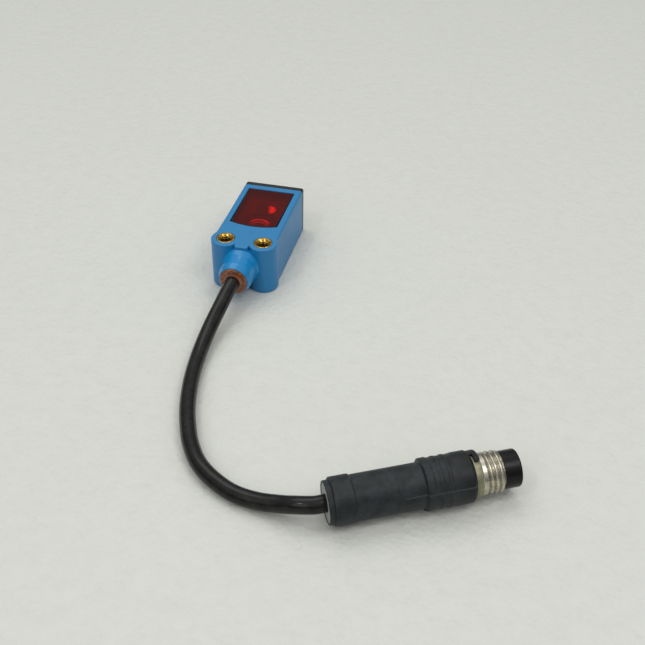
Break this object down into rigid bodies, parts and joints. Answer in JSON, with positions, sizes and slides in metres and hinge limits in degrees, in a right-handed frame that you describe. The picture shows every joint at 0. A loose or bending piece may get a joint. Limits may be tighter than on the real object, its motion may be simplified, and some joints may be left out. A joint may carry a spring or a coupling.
{
  "type": "photoelectric sensor",
  "caption": "Miniature photoelectric sensor with a red front window, threaded mounting bosses, a sensitivity adjuster, and a short cable moulded into a threaded round plug.",
  "frame": {"origin": "midway between the two mounting inserts, on the flat rear face", "axes": "+Z out of the optical window, +Y along the housing to the cap with the adjuster, +X to the right seen from the window side; the cable leaves along -Y"},
  "size_m": [0.078, 0.0984, 0.0121],
  "materials": {
    "housing": "satin, finely textured",
    "window": "clear dark red, polished",
    "top_cap": "satin",
    "insert_left": "machined",
    "insert_right": "machined",
    "cable_outlet": "satin gloss",
    "potting_plug": "cast resin, glossy",
    "optics_carrier": "matt, light-absorbing",
    "receiver_lens": "clear, polished",
    "sender_lens": "clear, polished",
    "main_board": "solder mask",
    "controller_chip": "moulded package",
    "board_parts": "fired ceramic",
    "emitter_led": "ceramic package",
    "photodiode": "dark clear package",
    "green_led": "clear package",
    "yellow_led": "clear package",
    "green_light_pipe": "clear, tinted",
    "yellow_light_pipe": "clear, tinted",
    "adjuster_body": "moulded",
    "adjuster_terminals": "tinned",
    "adjuster_track": "printed resistance track",
    "adjuster_wiper": "spring sheet",
    "adjuster_screw": "moulded",
    "adjuster_seal": "smooth",
    "brown_wire": "insulation",
    "white_wire": "insulation",
    "blue_wire": "insulation",
    "black_wire": "insulation",
    "cable": "smooth, slightly dusty",
    "plug_end_ring": "matt",
    "plug_grip": "matt",
    "plug_inner_mould": "moulded",
    "threaded_sleeve": "nickel plated",
    "contact_carrier": "polished",
    "contact_pins": "gold plated"
  },
  "bodies": {
    "sensor": {"housing": "housing", "window": "window", "top_cap": "top_cap", "insert_left": "insert_left", "insert_right": "insert_right", "cable_outlet": "cable_outlet", "potting_plug": "potting_plug", "optics_carrier": "optics_carrier", "receiver_lens": "receiver_lens", "sender_lens": "sender_lens", "main_board": "main_board", "controller_chip": "controller_chip", "board_parts": "board_parts", "emitter_led": "emitter_led", "photodiode": "photodiode", "green_led": "green_led", "yellow_led": "yellow_led", "green_light_pipe": "green_light_pipe", "yellow_light_pipe": "yellow_light_pipe", "adjuster_body": "adjuster_body", "adjuster_terminals": "adjuster_terminals", "adjuster_track": "adjuster_track", "brown_wire": "brown_wire", "white_wire": "white_wire", "blue_wire": "blue_wire", "black_wire": "black_wire", "cable": "cable", "plug_end_ring": "plug_end_ring", "plug_grip": "plug_grip", "plug_inner_mould": "plug_inner_mould", "threaded_sleeve": "threaded_sleeve", "contact_carrier": "contact_carrier", "contact_pins": "contact_pins"},
    "adjuster": {"adjuster_screw": "adjuster_screw", "adjuster_wiper": "adjuster_wiper", "adjuster_seal": "adjuster_seal"}
  },
  "joints": [
    {"name": "adjuster_turn", "type": "hinge", "parent": "sensor", "child": "adjuster", "pos_m": [0, 0.026, 0.0062], "axis": [0, 1, 0], "range_deg": [-135, 135]}
  ]
}
